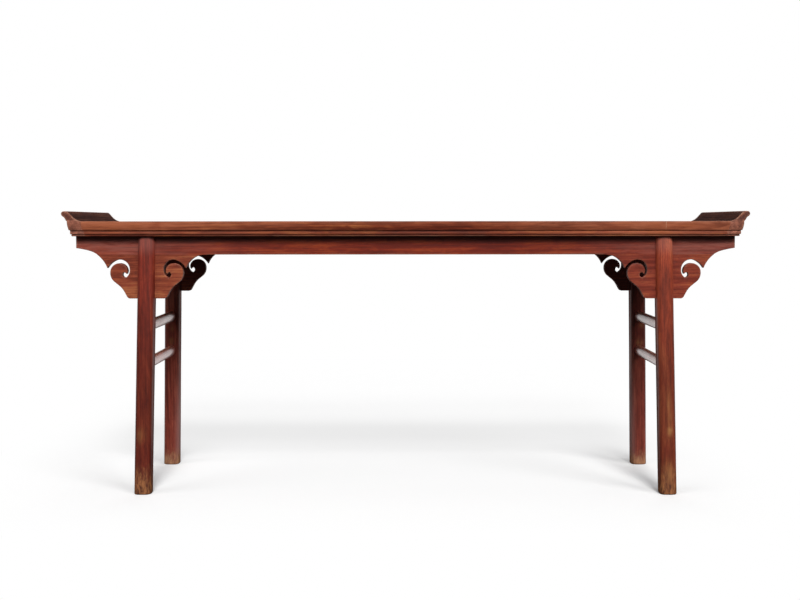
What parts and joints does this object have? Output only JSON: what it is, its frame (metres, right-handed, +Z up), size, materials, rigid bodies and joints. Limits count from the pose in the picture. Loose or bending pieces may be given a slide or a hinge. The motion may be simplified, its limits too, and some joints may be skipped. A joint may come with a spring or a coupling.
{
  "type": "recessed-leg altar table",
  "caption": "Long recessed-leg altar table with everted end flanges, moulded edge, scroll spandrels under straight aprons, round splayed legs and paired side stretchers.",
  "frame": {"origin": "on the floor under the middle of the table", "axes": "+X along the length to the right end seen from the front, +Y from front to back, +Z up"},
  "size_m": [2.1104, 0.4938, 0.881],
  "materials": {
    "frame_wood": "satin lacquered red-brown hardwood",
    "panel_wood": "satin lacquered red-brown hardwood",
    "brace_wood": "dull dark hardwood",
    "apron_wood": "satin lacquered red-brown hardwood",
    "leg_wood": "satin lacquered red-brown hardwood, worn at the feet",
    "stretcher_wood": "satin lacquered red-brown hardwood"
  },
  "bodies": {
    "root": {"front_rail": "frame_wood", "back_rail": "frame_wood", "left_flanged_end": "frame_wood", "right_flanged_end": "frame_wood", "front_panel_board": "panel_wood", "back_panel_board": "panel_wood", "cross_brace_1": "brace_wood", "cross_brace_2": "brace_wood", "cross_brace_3": "brace_wood", "cross_brace_4": "brace_wood", "cross_brace_5": "brace_wood", "front_apron": "apron_wood", "back_apron": "apron_wood", "left_end_apron": "apron_wood", "right_end_apron": "apron_wood", "front_left_spandrel": "apron_wood", "front_left_leg": "leg_wood", "front_right_spandrel": "apron_wood", "front_right_leg": "leg_wood", "back_left_spandrel": "apron_wood", "back_left_leg": "leg_wood", "back_right_spandrel": "apron_wood", "back_right_leg": "leg_wood", "left_upper_stretcher": "stretcher_wood", "left_lower_stretcher": "stretcher_wood", "right_upper_stretcher": "stretcher_wood", "right_lower_stretcher": "stretcher_wood"}
  },
  "joints": []
}
